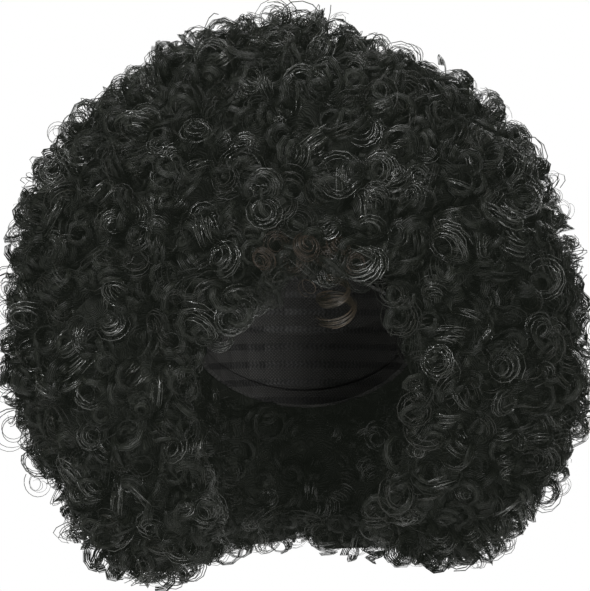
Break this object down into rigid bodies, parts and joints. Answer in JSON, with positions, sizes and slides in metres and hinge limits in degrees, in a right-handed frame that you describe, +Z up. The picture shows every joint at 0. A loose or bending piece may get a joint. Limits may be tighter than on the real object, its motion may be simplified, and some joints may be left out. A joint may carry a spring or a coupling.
{
  "type": "afro wig",
  "caption": "Big round wig of tight black curls over a thin stretch cap, open at the face and neck, with a corkscrew forelock.",
  "frame": {"origin": "the point inside the cap that rests on the crown of the head", "axes": "+Z up, -Y the way the wearer faces, +X towards the wearer's left"},
  "size_m": [0.4177, 0.3669, 0.4088],
  "materials": {
    "cap_net": "matt black stretch net",
    "hair": "near-black synthetic fibre with a soft gloss"
  },
  "bodies": {
    "root": {"cap": "cap_net", "hair_crown": "hair", "hair_front": "hair", "hair_back": "hair", "hair_nape": "hair", "hair_left": "hair", "hair_right": "hair", "forelock": "hair"}
  },
  "joints": []
}
